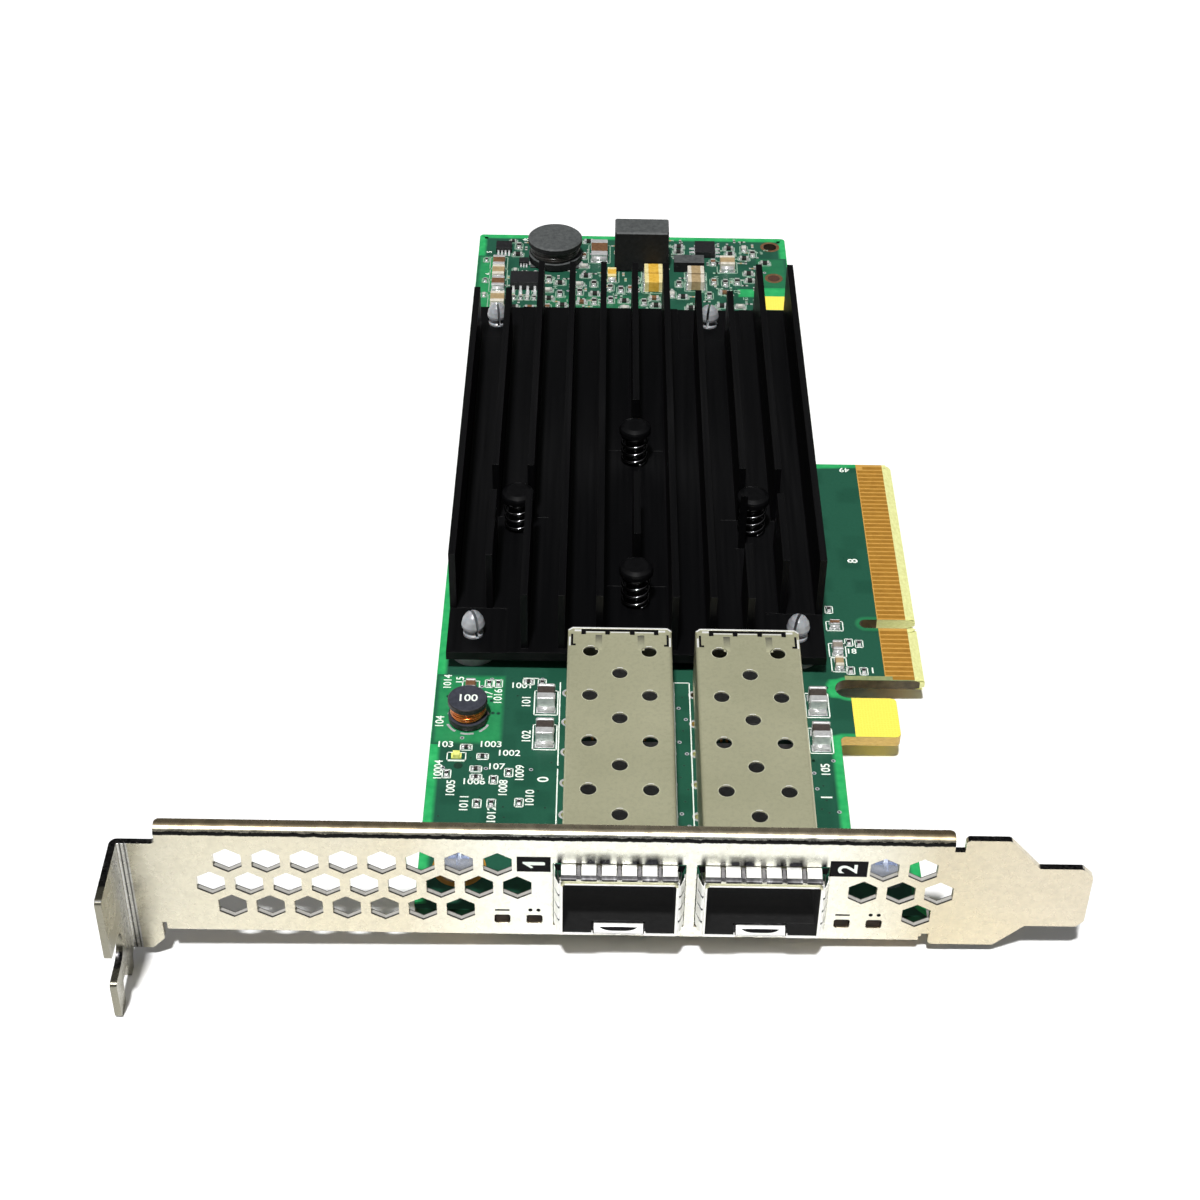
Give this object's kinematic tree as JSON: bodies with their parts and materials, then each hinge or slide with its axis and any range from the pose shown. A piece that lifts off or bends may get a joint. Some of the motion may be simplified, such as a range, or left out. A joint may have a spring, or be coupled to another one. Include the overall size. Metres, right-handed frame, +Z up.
{
  "type": "network interface card",
  "caption": "Network interface card: green circuit board with metal port cages, black finned heatsink, gold edge connector and a vented steel bracket.",
  "frame": {"origin": "under the middle of the card's bounding box, at the lowest point of the bracket", "axes": "+X across the board from its plain long edge to the edge connector, +Y from the bracket into the machine, +Z up from the component face"},
  "size_m": [0.12, 0.179, 0.0234],
  "materials": {
    "solder_mask": "satin green solder mask over glass-fibre laminate",
    "gold": "gold plating",
    "bracket_steel": "satin nickel-plated steel",
    "bright_steel": "bright plated",
    "cage_nickel": "matte nickel plating",
    "black_moulding": "matte",
    "clear_lamp": "clear",
    "black_anodised": "black anodised",
    "solder": "bright solder",
    "grey_pad": "matte",
    "black_nylon": "matte",
    "pale_nylon": "matte",
    "ferrite": "matte",
    "copper": "enamelled",
    "tan_ceramic": "satin",
    "dark_ceramic": "satin"
  },
  "bodies": {
    "root": {"circuit_board": "solder_mask", "edge_contacts": "gold", "bracket": "bracket_steel", "board_screws": "bright_steel", "port_cage_1": "cage_nickel", "port_cage_2": "cage_nickel", "cage_floor_1": "cage_nickel", "cage_floor_2": "cage_nickel", "spring_collar_1": "bright_steel", "spring_collar_2": "bright_steel", "receptacle_1": "black_moulding", "receptacle_2": "black_moulding", "receptacle_legs_1": "gold", "receptacle_legs_2": "gold", "indicator_lamps": "clear_lamp", "heatsink": "black_anodised", "controller_chip": "black_moulding", "chip_solder_balls": "solder", "thermal_pad": "grey_pad", "push_pins": "black_nylon", "pin_springs": "bright_steel", "snap_standoffs": "pale_nylon", "drum_inductor_core": "ferrite", "drum_inductor_winding": "copper", "large_inductor_core": "ferrite", "large_inductor_winding": "copper", "power_choke": "ferrite", "chip_inductor": "ferrite", "ferrite_beads": "ferrite", "small_packages": "black_moulding", "package_leads": "solder", "ceramic_capacitors": "tan_ceramic", "chip_resistors": "dark_ceramic", "status_lamp": "clear_lamp"}
  },
  "joints": []
}
